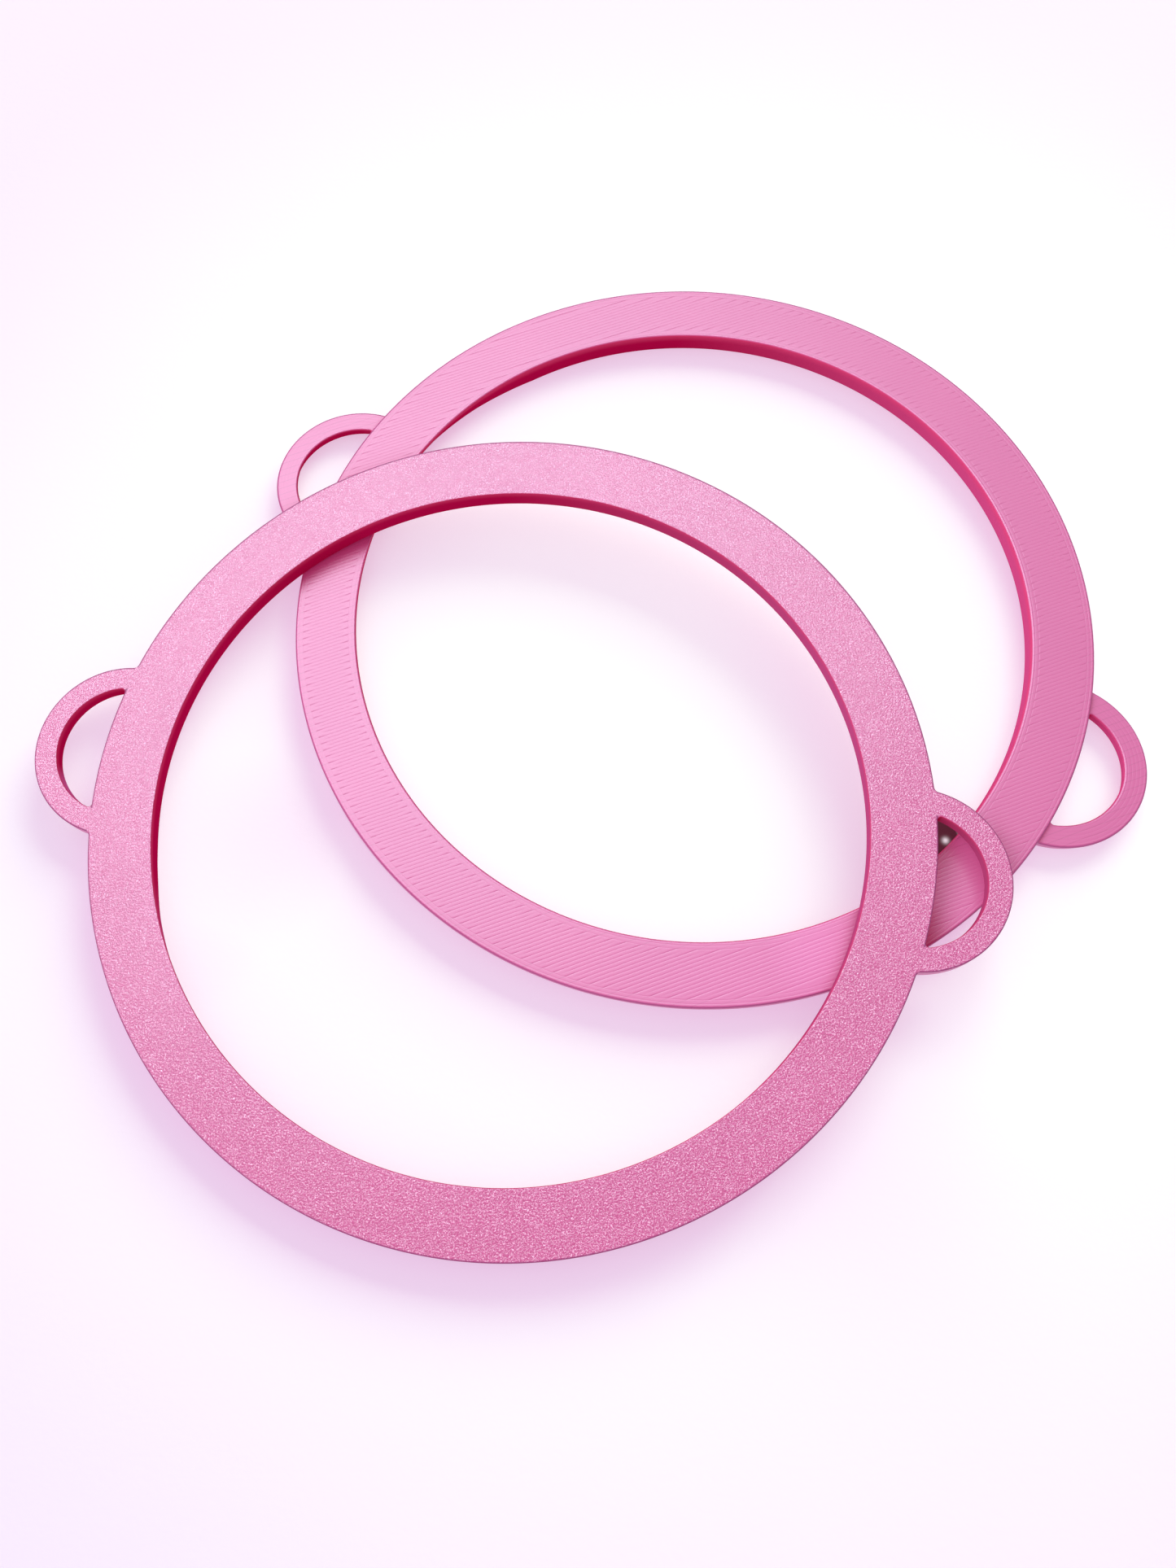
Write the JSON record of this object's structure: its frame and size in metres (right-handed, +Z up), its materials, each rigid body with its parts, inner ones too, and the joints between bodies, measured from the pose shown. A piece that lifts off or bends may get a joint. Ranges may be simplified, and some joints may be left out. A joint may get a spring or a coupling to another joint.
{
  "type": "looped flat hoop pair",
  "caption": "Small flat 3-D printed hoops with half-round strap loops on opposite sides of the rim, one turned over and leaning on the other",
  "frame": {"origin": "on the ground, under the middle of the pair's bounding box", "axes": "+Z straight up from the ground, out of the lower hoop's upper face; +X across the pair, from the upper hoop's side towards the lower hoop's side, along the pair's longest extent"},
  "size_m": [0.1212, 0.1142, 0.0066],
  "materials": {
    "pink_print_upper_face": "satin, fine printed lines",
    "pink_print_base_face": "satin, fine pebble grain"
  },
  "bodies": {
    "lower": {"lower_hoop": "pink_print_upper_face"},
    "upper": {"upper_hoop": "pink_print_base_face"}
  },
  "joints": [
    {"name": "upper_hoop_lift", "type": "slide", "parent": "lower", "child": "upper", "axis": [0, 0, 1], "range_m": [0, 0.06]}
  ]
}
